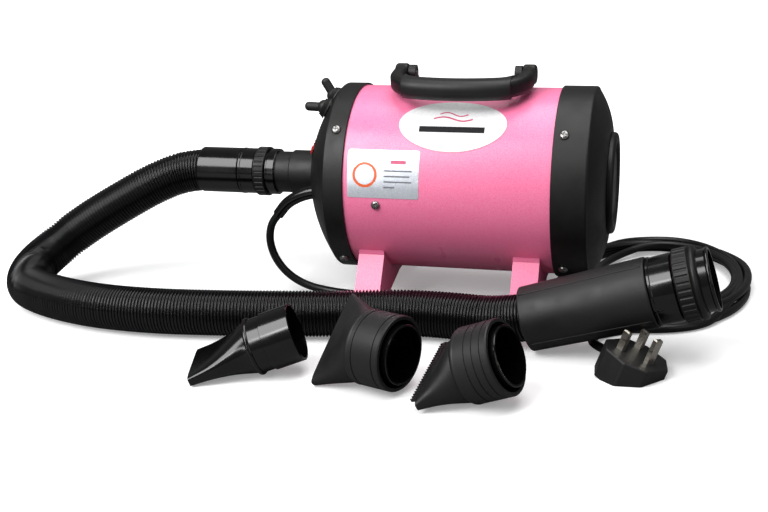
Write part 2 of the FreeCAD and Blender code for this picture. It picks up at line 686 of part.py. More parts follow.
def toggle_placed(shape, index):
    """Tilt a toggle piece in the plane of the drum axis and stand it on its seat."""
    seat, outward = toggle_frame(TOGGLE_ANGLES[index])
    hinge = V(1, 0, 0).cross(outward).normalize()
    side = outward.cross(hinge)
    placed = turned(shape, seat, outward, side)
    placed.rotate(seat + outward * 3.0, hinge, TOGGLE_TILTS[index])
    return placed


def toggle_boot():
    """Ball and lever cover in one rubber moulding, over the steel lever."""
    neck = 3.0 + math.sqrt(BALL_RADIUS ** 2 - 4.4 ** 2)
    foot = math.sqrt(BALL_RADIUS ** 2 - 16.0)
    tip = LEVER_REACH
    return lathe([(-1.0, 2.3), (-1.0, foot), ((3.0, BALL_RADIUS), (neck, 4.4)), (tip - 4.0, 4.4),
                  ((tip - 1.2, 3.3), (tip, 1.0)), (tip, 0), (tip - 2.4, 0), (tip - 2.4, 2.3)],
                  V(0, 0, 0), V(0, 0, 1))


def toggle_lever():
    tip = LEVER_REACH - 2.5
    return lathe([(-1.4, 0), (-1.4, 2.2), (tip, 2.2), (tip, 0)], V(0, 0, 0), V(0, 0, 1))


def make_rocker_bezel():
    seat, outward, along = rocker_frame()
    plate = box(V(0, 0, 0.4), (17.0, 12.6, 1.8))
    plate = plate.makeFillet(1.4, [e for e in plate.Edges if abs(e.tangentAt(e.FirstParameter).z) > 0.9])
    walls = box(V(0, 0, -4.5), (13.2, 9.2, 9.0))
    body = plate.fuse(walls).cut(box(V(0, 0, 0), (11.8, 7.8, 24)))
    return turned(body, seat, outward, along)


def make_rocker():
    """Red button: a shallow V about its pivot, one half proud."""
    seat, outward, along = rocker_frame()
    outline = [V(-5.2, 0, -3.0), V(-5.4, 0, 2.7), V(0, 0, 2.0), V(5.4, 0, 2.7), V(5.2, 0, -3.0)]
    face = Part.Face(Part.makePolygon(outline + outline[:1]))
    body = face.extrude(V(0, 7.0, 0))
    body.translate(V(0, -3.5, 0))
    placed = turned(body, seat, outward, along)
    placed.rotate(seat - outward * 2.0, outward.cross(along), ROCKER_TILT)
    return placed


# ---------------------------------------------------------------- inside the drum
def make_bulkhead():
    plate = tube(18.0, 20.0, SHELL_RADIUS - SHELL_WALL - 0.1, 46.5)
    ports = [rod(on_drum(10, 70, a), on_drum(30, 70, a), 7.0) for a in range(0, 360, 45)]
    return plate.cut(Part.makeCompound(ports))


def make_motor_can():
    return lathe([(-42, 9.2), (-42, 40), (-38, 45), (12, 45), (12, 42), (-36.5, 42), (-39.5, 38.5),
                  (-39.5, 9.2)])


def make_motor_end():
    return tube(12.1, 15.5, 45, 9.2)


def make_stator():
    return tube(-30, 8, 41.9, 30)


def make_mount_rings():
    front = tube(13.0, 17.9, 52, 45.1)
    rear = tube(-34, -28, 50, 45.1)
    return group([front, rear])


def make_fan_casing():
    return lathe([(20.1, 58), (20.1, 60), (64, 60), (64, 26), (62, 26), (62, 58)])


def make_shaft():
    return lathe([(-48, 0), (-48, 4), (-30, 4), (-30, 28), (8, 28), (8, 4), (60, 4), (60, 0)])


def make_impellers():
    wheels = []
    for x in (26.0, 46.0):
        back = tube(x, x + 1.5, 52, 4.0)
        hub = tube(x, x + 12, 9, 4.0)
        blades = [turned(box(V(31, 0, 0), (42, 1.5, 10)), V(x + 6.5, 0, AXIS_HEIGHT), V(1, 0, 0),
                         radial(a))
                  for a in range(0, 360, 40)]
        wheels.append(joined([back, hub] + blades))
    return group(wheels)


def make_heater_frame():
    """Crossed mica boards that carry the element."""
    centre = V(-75, 0, AXIS_HEIGHT)
    flat = box(centre, (44, 44, 1.5))
    upright = box(centre, (44, 1.5, 44))
    return joined([flat, upright])


def make_heater_coil():
    helix = Part.makeHelix(7.0, 35.0, 24.0)
    helix.Placement = FreeCAD.Placement(V(-92.5, 0, AXIS_HEIGHT), FreeCAD.Rotation(V(0, 1, 0), 90))
    start = helix.Vertexes[0].Point
    tangent = helix.Edges[0].tangentAt(helix.Edges[0].FirstParameter)
    section = Part.Wire([Part.Circle(start, tangent, 1.4).toShape()])
    return Part.Wire(helix.Edges).makePipeShell([section], True, True)


def make_thermostat():
    return rod(V(-52.9, 12, AXIS_HEIGHT + 8), V(-46, 12, AXIS_HEIGHT + 8), 7.0)


def make_board():
    plate = box(V(-62, 66, AXIS_HEIGHT), (46, 1.6, 52))
    bits = [box(V(-72, 60.2, AXIS_HEIGHT + 10), (14, 10, 16)),
            box(V(-54, 61.2, AXIS_HEIGHT - 12), (16, 8, 10))]
    return joined([plate] + bits)


def make_terminals():
    block = box(V(-94, -52, 78), (18, 12, 24))
    for z in (70, 78, 86):
        block = block.cut(rod(V(-94, -60, z), V(-94, -49, z), 2.4))
    return block


def make_liner():
    return tube(24, 92, SHELL_RADIUS - SHELL_WALL - 0.1, 77)


# ---------------------------------------------------------------- hose coupling
def make_cuff():
    bore = HOSE_RADIUS + HOSE_BORE_GAP
    return lathe([(CUFF_START, bore), (CUFF_START, CUFF_RADIUS - 1.4),
                  ((CUFF_START + 0.5, CUFF_RADIUS - 0.4),
                  (CUFF_START + 1.6, CUFF_RADIUS)), (CUFF_END - 0.8, CUFF_RADIUS),
                  (CUFF_END, CUFF_RADIUS - 0.8),
                  (CUFF_END, 18.0), (HOSE_SHOULDER, 18.0), (HOSE_SHOULDER, bore)])


def make_coupling_body():
    start, ring_start = CUFF_END + 0.1, LOCK_RING_X[0] - 0.6
    neck = 21.6
    bore = SPIGOT_TIP_RADIUS + 0.1
    return lathe([(start, 18.0), (start, 22.3), (start + 0.8, 23.1), (start + 2.6, 23.1),
                  (start + 3.2, 22.7),
                  (ring_start - 0.6, 22.7), (ring_start, 22.1), (ring_start, neck), (COUPLING_END, neck),
                  (COUPLING_END, bore), (SPIGOT_TIP - 0.4, bore), (SPIGOT_TIP - 0.4, 18.0)])


def make_lock_ring():
    x0, x1 = LOCK_RING_X
    ring = tube(x0, x1, 24.5, 21.9, edge=0.9)
    cutters = knurls(x0 + 1.2, x1 - 1.2, 24.5, V(0, 0, AXIS_HEIGHT), V(1, 0, 0), 30, 0.9, 1.3)
    return ring.cut(Part.makeCompound(cutters))


def make_collar():
    return tube(COLLAR_X[0], COLLAR_X[1], 22.9, 21.62, edge=0.6)


# ---------------------------------------------------------------- hand grip
def grip_axis():
    return (GRIP_END - GRIP_START).normalize()


def grip_length():
    return (GRIP_END - GRIP_START).Length


def grip_lathe(points):
    return lathe(points, GRIP_START, grip_axis())


def make_grip():
    length = grip_length()
    bore = HOSE_RADIUS + HOSE_BORE_GAP
    r0, r1 = SLEEVE_RADII
    return grip_lathe([(0, bore), (0, r0 - 1.6), ((0.5, r0 - 0.5), (1.8, r0)), (length - 1.5, r1),
                       ((length - 0.4, r1 - 0.4), (length, r1 - 1.5)), (length, 24.0),
                       (HOSE_SEAT, 24.0), (HOSE_SEAT, 19.0), (HOSE_SEAT - 2, 19.0),
                       (HOSE_SEAT - 2, bore)])


def make_adapter():
    end = grip_length() + 0.1
    neck_end = end + 29.9
    return grip_lathe([(30, 20.0), (30, 23.9), (end, 23.9), (end, 28.2),
                       (end + 1.0, ADAPTER_RADIUS + 0.4),
                       (end + 2.6, ADAPTER_RADIUS + 0.4), (end + 3.4, ADAPTER_RADIUS - 0.3),
                       (end + 20.5, ADAPTER_RADIUS + 0.2), (end + 21.8, ADAPTER_RADIUS - 0.8),
                       (end + 21.8, 26.2),
                       (neck_end, 26.2), (neck_end, 20.0)])


def lock_ring_span():
    start = grip_length() + 22.4
    return start, start + 19.4


def make_grip_ring():
    x0, x1 = lock_ring_span()
    r = GRIP_RING_RADIUS
    ring = grip_lathe([(x0, 26.8), (x0, r - 1), (x0 + 1, r), (x0 + 12.6, r), (x0 + 13.4, r - 0.9),
                       (x0 + 14.2, r - 0.2),
                       ((x0 + 16.8, r + 0.5), (x0 + 19.0, r - 1.6)), (x1, r - 3.0), (x1, 26.8)])
    cutters = knurls(x0 + 1.4, x0 + 12.0, r, GRIP_START, grip_axis(), 34, 0.8, 1.9)
    return ring.cut(Part.makeCompound(cutters))


def end_ring_span():
    start = grip_length() + 30.1
    return start, start + SOCKET_DEPTH + 1.5


def make_end_ring():
    x0, x1 = end_ring_span()
    return grip_lathe([(x0, SOCKET_RADIUS), (x1, SOCKET_RADIUS), (x1, 26.6),
                       ((x1 - 1.4, 27.4), (x1 - 2.8, 26.8)),
                       (x1 - 3.4, 26.4), (x0, 26.4)])


# ---------------------------------------------------------------- mains lead and plug
def ellipse_column(semi_x, semi_y, height):
    major, minor = max(semi_x, semi_y), min(semi_x, semi_y)
    centre = V(COIL_CENTRE.x, COIL_CENTRE.y, 0)
    far = centre + (V(0, major, 0) if semi_y > semi_x else V(major, 0, 0))
    near = centre + (V(minor, 0, 0) if semi_y > semi_x else V(0, minor, 0))
    curve = Part.Ellipse(far, near, centre)
    return Part.Face(Part.Wire([curve.toShape()])).extrude(V(0, 0, height))


def make_coil():
    grow = LEAD_RADIUS
    a, b = COIL_SEMI
    outer = ellipse_column(a + grow, b + grow, COIL_HEIGHT)
    inner = ellipse_column(a - COIL_BAND, b - COIL_BAND, COIL_HEIGHT)
    return outer.cut(inner)


def plug_placed(shape):
    place = FreeCAD.Placement(PLUG_PLACE, FreeCAD.Rotation(V(0, 0, 1), PLUG_HEADING))
    result = shape.copy()
    result.Placement = place.multiply(shape.Placement)
    return result


def plug_face_frame():
    """Middle of the face, its normal and the way its earth pin lies, in the plug's own plan."""
    tilt, lean = math.radians(PLUG_FACE_TILT), math.radians(-PLUG_HEADING)
    normal = V(math.sin(tilt) * math.cos(lean), math.sin(tilt) * math.sin(lean), math.cos(tilt))
    forward = V(0, 1, 0).cross(normal).normalize()
    return V(0, 0, PLUG_FACE_HEIGHT), normal, forward


def make_plug_body():
    """Rewirable-style UK plug lying on its back; local x runs from cable exit to earth pin."""
    base, normal, forward = plug_face_frame()
    outline = [(24, -13), (24, 13), (9, 27), (-13, 26), (-27, 12), (-27, -12), (-13, -26), (9, -27)]
    wire = Part.makePolygon([V(x, y, -PLUG_DEPTH) for x, y in outline + outline[:1]])
    column = Part.Face(wire).extrude(V(0, 0, PLUG_DEPTH))
    upright = [e for e in column.Edges if abs(e.tangentAt(e.FirstParameter).z) > 0.9]
    column = column.makeFillet(3.5, upright)
    top_edges = [e for e in column.Edges if abs(e.CenterOfMass.z) < 0.01]
    column = column.makeFillet(1.4, top_edges)
    slots = [box(V(x, y, 0), (w + 0.02, d + 0.02, 12)) for x, y, w, d, h in pin_table()]
    body = turned(column.cut(Part.makeCompound(slots)), base, normal, forward)
    body = body.fuse(Part.makeCylinder(5.4, 14, V(-36, 0, 9.4), V(1, 0, 0))).removeSplitter()
    return plug_placed(body.cut(Part.makeBox(200, 200, 60, V(-100, -100, -60))))


def pin_table():
    """Earth, live and neutral: place, width along x, width along y, height."""
    return [(12.0, 0.0, 4.0, 8.0, 22.7), (-10.2, -11.1, 6.35, 4.0, 17.7), (-10.2, 11.1, 6.35, 4.0, 17.7)]


def make_pins_of_plug():
    base, normal, forward = plug_face_frame()
    pins = []
    for x, y, w, d, h in pin_table():
        pin = box(V(x, y, h / 2 - 3), (w, d, h + 6))
        tip = [e for e in pin.Edges if e.CenterOfMass.z > h - 0.1]
        pins.append(plug_placed(turned(pin.makeChamfer(1.0, tip), base, normal, forward)))
    return group(pins)


# ---------------------------------------------------------------- loose nozzles
def nozzle_placed(shape, spec):
    """Stand a nozzle made along x, mouth at the origin facing +x, at its place on the floor."""
    turn = FreeCAD.Rotation(V(0, 0, 1), -spec["heading"])
    raise_mouth = FreeCAD.Rotation(V(0, 1, 0), -spec["lift"])
    roll = FreeCAD.Rotation(V(1, 0, 0), spec["roll"])
    place = FreeCAD.Placement(spec["mouth"], turn.multiply(raise_mouth).multiply(roll))
    result = shape.copy()
    result.Placement = place.multiply(shape.Placement)
    return result


def nozzle_loft(stations, inset):
    """Smooth body through (x, half width, half height, power) stations."""
    wires = [rounded_section(V(x, 0, 0), V(0, 1, 0), V(0, 0, 1), w - inset, h - inset, p) for x, w, h,
             p in stations]
    return Part.makeLoft(wires, True, False)


def local_lathe(points):
    return lathe(points, V(0, 0, 0), V(1, 0, 0))


def make_flat_nozzle():
    wall = 1.9
    stations = [(-38.6, 23.3, 23.3, 2.0), (-50.0, 23.4, 18.8, 2.2), (-64.0, 25.4, 12.4, 2.8),
                (-79.0, 27.6, 7.4, 4.0), (-94.0, 29.3, 4.8, 6.0)]
    horn = nozzle_loft(stations, 0.0)
    hollow = [(-38.0, 23.3, 23.3, 2.0)] + stations[1:-1] + [(-94.6, 29.3, 4.8, 6.0)]
    horn = horn.cut(nozzle_loft(hollow, wall))
    r = NOZZLE_SLEEVE_RADIUS
    neck = local_lathe([(0, r - wall), (0, r - 0.4), (-0.4, r), (-25.4, r), (-26.0, 23.6), (-36.2, 23.6),
                        (-36.6, 24.6),
                        ((-38.2, 25.2), (-39.8, 24.6)), (-40.2, 23.9), (-40.2, 21.9), (-26.0, 21.9)])
    return nozzle_placed(joined([horn, neck]), FLAT_NOZZLE)


def rubber_head(tip_x, tip_half, tip_height, ridges):
    """Soft collar that spreads into a flat mouth, hollow right through."""
    wall = 2.6
    spread = (tip_half - 29.0) / 4
    stations = [(-36.5, 29.0, 29.0, 2.0), (-45.0, 29.0 + spread, 24.0, 2.2),
                (-54.0, 29.0 + 2 * spread, 16.5, 2.6),
                (-63.0, 29.0 + 3 * spread, 10.0, 3.4), (tip_x, tip_half, tip_height, 5.0)]
    fan = nozzle_loft(stations, 0.0)
    hollow = [(-36.0, 29.0, 29.0, 2.0)] + stations[1:-1] + [(tip_x - 0.6, tip_half, tip_height, 5.0)]
    fan = fan.cut(nozzle_loft(hollow, wall))
    outline = [(-4.0, 28.0), (-4.0, 30.6), (-5.0, 31.2)]
    for x in ridges:
        outline += [(x, 31.2), (x - 0.4, 30.5), (x - 1.2, 30.5), (x - 1.6, 31.2)]
    outline += [(-34.0, 31.2), ((-36.8, 30.9), (-38.0, 29.8)), (-38.0, 27.0), (-34.0, 27.0),
                (-34.0, 28.0)]
    return joined([fan, local_lathe(outline)])


def make_fishtail():
    return nozzle_placed(rubber_head(-72.0, 42.5, 5.6, (-9.0, -29.0)), FISHTAIL_NOZZLE)


def make_comb():
    """The comb nozzle's soft head and the toothed strip along one side of its mouth."""
    tip = -71.0
    head = rubber_head(tip, 44.0, 5.0, (-9.0, -16.0, -23.0))
    strip = [box(V(tip - 0.6, 0, 3.7), (1.2, 77.2, 2.0))]
    for i in range(TOOTH_COUNT):
        y = (i - (TOOTH_COUNT - 1) / 2) * TOOTH_PITCH
        strip.append(box(V(tip - 2.6, y, 3.7), (2.8, 1.5, 2.0)))
    return nozzle_placed(group([head, joined(strip)]), COMB_NOZZLE)


def make_sleeve(spec):
    r = NOZZLE_SLEEVE_RADIUS
    wall = 2.0
    sleeve = local_lathe([(0, r - wall), (0, r - 0.5), (-0.5, r), (-27.9, r), (-27.9, 27.9),
                          (-31.0, 27.9), (-31.0, r),
                          (-33.9, r), (-33.9, r - wall)])
    return nozzle_placed(sleeve, spec)


# ---------------------------------------------------------------- assembly
def build():
    parts["drum_shell"] = drill_bracket_screws(drill_leg_bolts(make_shell()))
    parts["outlet_cap"] = make_outlet_cap()
    parts["intake_cap"] = make_intake_cap()
    parts["intake_grille"] = make_grille()
    parts["intake_cover"] = make_cover()
    parts["foam_filter"] = make_foam()
    parts["outlet_end_leg"] = drill_leg_bolts(make_leg(LEG_CENTRES[0]))
    parts["intake_end_leg"] = drill_leg_bolts(make_leg(LEG_CENTRES[1]))
    parts["rubber_feet"] = make_feet()
    parts["leg_bolts"] = make_leg_bolts()
    parts["cap_screws"] = group([make_cap_screws(-CAP_SCREW_X), make_cap_screws(CAP_SCREW_X)])
    parts["shell_screws"] = make_shell_screws()
    parts["handle_brackets"] = group([make_bracket(-1), make_bracket(1)])
    parts["bracket_screws"] = make_bracket_screws()
    parts["handle_pivot_pins"] = make_pins()
    core, cover = bail_core(), grip_cover()
    parts["handle_bail"] = at_rest(core)
    parts["handle_grip_cover"] = at_rest(cover.cut(core))
    parts["oval_badge"] = make_badge()
    parts["info_label"] = make_label()
    parts["toggle_collars"] = make_toggle_rings()
    for index, name in enumerate(("near", "far")):
        parts["toggle_boot_" + name] = toggle_placed(toggle_boot(), index)
        parts["toggle_lever_" + name] = toggle_placed(toggle_lever(), index)
    parts["rocker_bezel"] = make_rocker_bezel()
    parts["rocker_button"] = make_rocker()
    parts["motor_bulkhead"] = make_bulkhead()
    parts["motor_can"] = group([make_motor_can(), make_motor_end()])
    parts["stator_stack"] = make_stator()
    parts["motor_mount_rings"] = make_mount_rings()
    parts["fan_casing"] = make_fan_casing()
    parts["rotor_shaft"] = make_shaft()
    parts["impellers"] = make_impellers()
    parts["heater_frame"] = make_heater_frame()
    parts["heater_coil"] = make_heater_coil()
    parts["thermostat"] = make_thermostat()
    parts["control_board"] = make_board()
    parts["terminal_block"] = make_terminals()
    parts["acoustic_liner"] = drill_bracket_screws(drill_leg_bolts(make_liner()))
    parts["hose_cuff"] = make_cuff()
    parts["coupling_body"] = make_coupling_body()
    parts["coupling_lock_ring"] = make_lock_ring()
    parts["coupling_collar"] = make_collar()
    parts["air_hose"] = cord_tube("air_hose", HOSE_ROUTE, HOSE_RADIUS)
    parts["hose_grip"] = make_grip()
    parts["grip_adapter"] = make_adapter()
    parts["grip_lock_ring"] = make_grip_ring()
    parts["grip_end_ring"] = make_end_ring()
    parts["cable_strain_relief"] = tapered_relief()
    parts["mains_lead"] = cord_tube("mains_lead", LEAD_ROUTE, LEAD_RADIUS)
    parts["mains_coil"] = make_coil()
    parts["lead_tail"] = cord_tube("lead_tail", TAIL_ROUTE, LEAD_RADIUS)
    parts["plug_body"] = make_plug_body()
    parts["plug_pins"] = make_pins_of_plug()
    parts["flat_nozzle"] = make_flat_nozzle()
    parts["fishtail_rubber"] = make_fishtail()
    parts["fishtail_sleeve"] = make_sleeve(FISHTAIL_NOZZLE)
    parts["comb_rubber"] = make_comb()
    parts["comb_sleeve"] = make_sleeve(COMB_NOZZLE)


def write():
    os.makedirs("parts", exist_ok=True)
    for name, shape in parts.items():
        moved = shape.copy()
        moved.translate(FRAME_SHIFT)
        moved.exportStep("parts/%s.step" % name)


build()
write()
print("%d nodes" % len(parts))
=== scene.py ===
import json
import math

import bmesh
import bpy
from mathutils import Matrix, Vector


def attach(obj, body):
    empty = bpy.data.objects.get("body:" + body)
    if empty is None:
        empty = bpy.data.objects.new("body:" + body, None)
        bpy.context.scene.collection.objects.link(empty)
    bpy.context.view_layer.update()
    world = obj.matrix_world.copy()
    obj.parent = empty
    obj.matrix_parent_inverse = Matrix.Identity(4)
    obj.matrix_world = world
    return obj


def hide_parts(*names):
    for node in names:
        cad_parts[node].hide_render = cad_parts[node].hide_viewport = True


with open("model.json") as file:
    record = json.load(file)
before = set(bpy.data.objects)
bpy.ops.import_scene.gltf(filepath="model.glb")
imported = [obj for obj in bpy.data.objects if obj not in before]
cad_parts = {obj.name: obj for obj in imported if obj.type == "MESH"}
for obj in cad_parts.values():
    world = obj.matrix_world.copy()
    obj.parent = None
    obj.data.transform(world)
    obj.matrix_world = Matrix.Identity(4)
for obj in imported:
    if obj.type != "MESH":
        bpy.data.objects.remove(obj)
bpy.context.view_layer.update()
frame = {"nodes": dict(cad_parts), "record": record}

NODES = frame["nodes"]
SHIFT = Vector((11.6, 90.8, 0.0))   # from the point under the middle of the drum to the origin, mm
AXIS_HEIGHT = 115.0
DRUM_RADIUS = 87.5


def at(x, y, z):
    """A place measured in millimetres from the floor point under the drum's middle, as metres."""
    return (Vector((x, y, z)) + SHIFT) / 1000


# ------------------------------------------------------------------ camera
CAMERA_PLACE = at(220.7, -1104.4, 410.5)
CAMERA_TURN = (0.267, -0.320, -0.034)     # yaw, pitch and roll, radians
CAMERA_LENS, CAMERA_SENSOR = 56.3, 36     # mm


def make_camera():
    """The photographer's place: in front, a little to the intake end, looking down."""
    yaw, pitch, roll = CAMERA_TURN
    ahead = Vector((-math.sin(yaw) * math.cos(pitch), math.cos(yaw) * math.cos(pitch), math.sin(pitch)))
    right = Vector((math.cos(yaw), math.sin(yaw), 0))
    up = right.cross(ahead)
    x_dir = right * math.cos(roll) + up * math.sin(roll)
    y_dir = up * math.cos(roll) - right * math.sin(roll)
    camera = bpy.data.objects.new("camera", bpy.data.cameras.new("camera"))
    camera.data.sensor_width = CAMERA_SENSOR
    camera.data.lens = CAMERA_LENS
    camera.matrix_world = Matrix.Translation(CAMERA_PLACE) @ Matrix(
        (x_dir, y_dir, -ahead)).transposed().to_4x4()
    bpy.context.scene.collection.objects.link(camera)
    bpy.context.scene.camera = camera


make_camera()


# ------------------------------------------------------------------ materials
def srgb(r, g, b):
    """A colour given in 0-255 steps, as linear light."""
    def line(c):
        c = c / 255
        return c / 12.92 if c <= 0.04045 else ((c + 0.055) / 1.055) ** 2.4
    return (line(r), line(g), line(b), 1.0)


def surface(name, dark, light, rough, grain, bump=0.1, depth=0.0002, patch=60.0, spread=0.06, contrast=0.5,
            blotch=0.15, stretch=(1, 1, 1), **shader):
    """A procedural finish: fine grain between two colours, slow patches, uneven gloss and a fine relief."""
    material = bpy.data.materials.new(name)
    material.use_nodes = True
    nodes, links = material.node_tree.nodes, material.node_tree.links
    principled = nodes["Principled BSDF"]
    place = nodes.new("ShaderNodeTexCoord")
    mapping = nodes.new("ShaderNodeMapping")
    mapping.inputs["Scale"].default_value = stretch
    links.new(place.outputs["Object"], mapping.inputs["Vector"])

    def noise(scale, detail):
        texture = nodes.new("ShaderNodeTexNoise")
        texture.inputs["Scale"].default_value = scale
        texture.inputs["Detail"].default_value = detail
        links.new(mapping.outputs["Vector"], texture.inputs["Vector"])
        return texture.outputs["Fac"]

    fine, slow = noise(grain, 3), noise(patch, 2)
    blend = nodes.new("ShaderNodeMath")
    blend.operation = "MULTIPLY_ADD"
    links.new(slow, blend.inputs[0])
    blend.inputs[1].default_value = blotch
    links.new(fine, blend.inputs[2])
    ramp = nodes.new("ShaderNodeValToRGB")
    middle = 0.5 + 0.5 * blotch
    ramp.color_ramp.elements[0].position = middle - 0.5 * (1 - contrast) - 0.02
    ramp.color_ramp.elements[1].position = min(1.0, middle + 0.5 * (1 - contrast) + 0.02)
    ramp.color_ramp.elements[0].color = dark
    ramp.color_ramp.elements[1].color = light
    links.new(blend.outputs[0], ramp.inputs[0])
    links.new(ramp.outputs[0], principled.inputs["Base Color"])
    gloss = nodes.new("ShaderNodeMapRange")
    gloss.inputs["From Min"].default_value, gloss.inputs["From Max"].default_value = 0.3, 0.7
    gloss.inputs["To Min"].default_value = max(0.02, rough - spread)
    gloss.inputs["To Max"].default_value = rough + spread
    links.new(slow, gloss.inputs["Value"])
    links.new(gloss.outputs["Result"], principled.inputs["Roughness"])
    relief = nodes.new("ShaderNodeBump")
    relief.inputs["Strength"].default_value = bump
    relief.inputs["Distance"].default_value = depth
    links.new(fine, relief.inputs["Height"])
    links.new(relief.outputs["Normal"], principled.inputs["Normal"])
    for key, value in shader.items():
        principled.inputs[key.replace("_", " ")].default_value = value
    return material


LOOKS = {
    "pink_powder_coat": surface("pink_powder_coat", srgb(250, 112, 158), srgb(255, 142, 182), 0.33, 1000,
                                0.45, 0.0003, contrast=0.6, blotch=0.05, patch=25, Coat_Weight=0.15,
                                Coat_Roughness=0.2),
    "black_metal": surface("black_metal", srgb(22, 22, 23), srgb(38, 38, 40), 0.5, 900),
    "black_abs": surface("black_abs", srgb(12, 11, 11), srgb(22, 21, 20), 0.44, 1500, 0.35, 0.0003,
                         contrast=0.4, Specular_IOR_Level=0.35),
    "gloss_black": surface("gloss_black", srgb(4, 4, 5), srgb(9, 9, 10), 0.15, 220, 0.08, 0.0002, patch=25,
                           spread=0.04),
    "black_rubber": surface("black_rubber", srgb(19, 19, 19), srgb(31, 30, 30), 0.48, 1700, 0.35, 0.0002,
                            Specular_IOR_Level=0.38),
    "hose_plastic": surface("hose_plastic", srgb(6, 6, 7), srgb(13, 13, 15), 0.19, 500, 0.08, patch=30,
                            Specular_IOR_Level=0.4),
    "steel": surface("steel", srgb(128, 127, 125), srgb(176, 175, 173), 0.3, 1400, 0.1, Metallic=1.0),
    "dark_bolt": surface("dark_bolt", srgb(26, 24, 24), srgb(60, 54, 52), 0.42, 1200, 0.2),
    "brass_pin": surface("brass_pin", srgb(176, 170, 158), srgb(222, 216, 204), 0.28, 900, 0.1,
                         stretch=(1, 1, 6), Metallic=1.0),
    "badge": surface("badge", srgb(232, 232, 234), srgb(246, 246, 246), 0.3, 400, 0.03, patch=30),
    "label": surface("label", srgb(196, 201, 210), srgb(220, 224, 231), 0.3, 700, 0.05, patch=20,
                     Metallic=0.55),
    "red_switch": surface("red_switch", srgb(176, 8, 12), srgb(214, 24, 26), 0.25, 600, 0.05),
    "foam": surface("foam", srgb(12, 12, 12), srgb(46, 46, 46), 0.9, 700, 1.0, 0.001, contrast=0.8),
    "mica": surface("mica", srgb(150, 140, 116), srgb(196, 186, 160), 0.5, 300, 0.1),
    "resistance_wire": surface("resistance_wire", srgb(120, 112, 104), srgb(176, 168, 160), 0.35, 1500, 0.1,
                               Metallic=1.0),
    "board": surface("board", srgb(18, 70, 36), srgb(34, 104, 58), 0.35, 500, 0.05),
    "felt": surface("felt", srgb(70, 70, 70), srgb(128, 128, 128), 0.95, 900, 0.8, 0.0008, contrast=0.7),
    "cable": surface("cable", srgb(8, 8, 9), srgb(18, 18, 19), 0.34, 900, 0.1, Specular_IOR_Level=0.35),
}
PRINTS = {
    "print_orange": surface("print_orange", srgb(226, 88, 34), srgb(242, 108, 48), 0.35, 500, 0.03,
                            patch=30),
    "print_grey": surface("print_grey", srgb(96, 98, 106), srgb(122, 124, 132), 0.4, 500, 0.03, patch=30),
    "print_pink": surface("print_pink", srgb(196, 60, 104), srgb(216, 84, 124), 0.35, 500, 0.03, patch=30),
    "print_dark": surface("print_dark", srgb(16, 16, 18), srgb(28, 28, 31), 0.5, 500, 0.03, patch=30,
                          Specular_IOR_Level=0.15),
}


def dress(obj, slot):
    obj.data.materials.clear()
    obj.data.materials.append(LOOKS[slot])


for part in frame["record"]["subparts"]:
    node = NODES[part["node"]]
    for place in node.material_slots:
        place.material = LOOKS[part["material_slot"]]
    if not node.material_slots:
        node.data.materials.append(LOOKS[part["material_slot"]])


# ------------------------------------------------------------------ cords
RELIEF_ROUTE = [at(-130, -41, 108.5), at(-150, -41, 104), at(-166, -41, 95), at(-176, -41, 82.5)]
LEAD_ROUTE = [at(-184.3, -41, 72.1), at(-187, -41, 55), at(-182, -41, 37), at(-170, -40.5, 21),
              at(-151, -39.5, 9.5), at(-124, -38.5, 4.2), at(-90, -42, 4), at(-48, -50, 4), at(0, -54, 4),
              at(44, -49, 4), at(76, -33, 4), at(96, -4, 4), at(102, 29, 4)]
TAIL_ROUTE = [at(240, -52, 4), at(222, -71, 4), at(196, -82, 4), at(166, -86, 4), at(144, -100, 4.2),
              at(136, -121, 6), at(142.3, -143, 9.4), at(152.7, -152.4, 9.4)]
HOSE_ROUTE = [at(-243, 0, 115), at(-280, 0, 115), at(-315, -11, 103.5), at(-352, -26, 83.5),
              at(-386, -40, 63.5), at(-409, -53, 46), at(-426.5, -83, 29.5), at(-417, -116, 22),
              at(-392, -133, 21.3), at(-356, -148, 21.3), at(-312, -158.5, 21.3), at(-258, -161, 21.3),
              at(-200, -155.5, 21.3), at(-143, -148, 21.3), at(-86, -137.5, 21.3), at(-38, -125.5, 21.3),
              at(10, -124.5, 21.3), at(60, -131.5, 21.3), at(101.1, -137.2, 32.9)]
LEAD_RADIUS = 3.9
LEAD_HEIGHT = 4.0                   # the lead's middle where it lies on the floor
# each turn of the coil: half lengths along X and Y, then the place of its middle
COIL_TURNS = [(80, 106, 182, 40), (96, 131, 185, 49.5), (76, 112, 190, 57),
              (84, 104, 180, 46), (66, 92, 192, 48), (88, 120, 184, 38)]
COIL_START, COIL_SWEEP = 190.0, 241.0 + 4 * 360
POINTS_PER_TURN = 16
CROSSING_LIFT = 7.0                 # how far a strand rises over the ones below
LIFT_START, LIFT_FULL = 15.0, 6.0   # gap between strands where the rise starts, and where it is whole


def coil_points():
    """Loose turns of the lead on the floor, each of its own size and place, riding over those below."""
    count = int(round(COIL_SWEEP / 360 * POINTS_PER_TURN))
    flat = []
    for i in range(1, count):
        turn = i / count * COIL_SWEEP / 360
        k = min(int(turn), len(COIL_TURNS) - 2)
        a, b, x, y = (p + (q - p) * (turn - k) for p, q in zip(COIL_TURNS[k], COIL_TURNS[k + 1]))
        angle = math.radians(COIL_START - turn * 360)
        flat.append((x + a * math.cos(angle), y + b * math.sin(angle)))
    laid = []
    for i, (x, y) in enumerate(flat):
        below = flat[:max(0, i - POINTS_PER_TURN // 2)]
        gap = min((segment_distance(x, y, p, q) for p, q in zip(below, below[1:])), default=99.0)
        lift = min(1.0, max(0.0, (LIFT_START - gap) / (LIFT_START - LIFT_FULL)))
        laid.append(at(x, y, LEAD_HEIGHT + CROSSING_LIFT * lift * lift * (3 - 2 * lift)))
    return laid


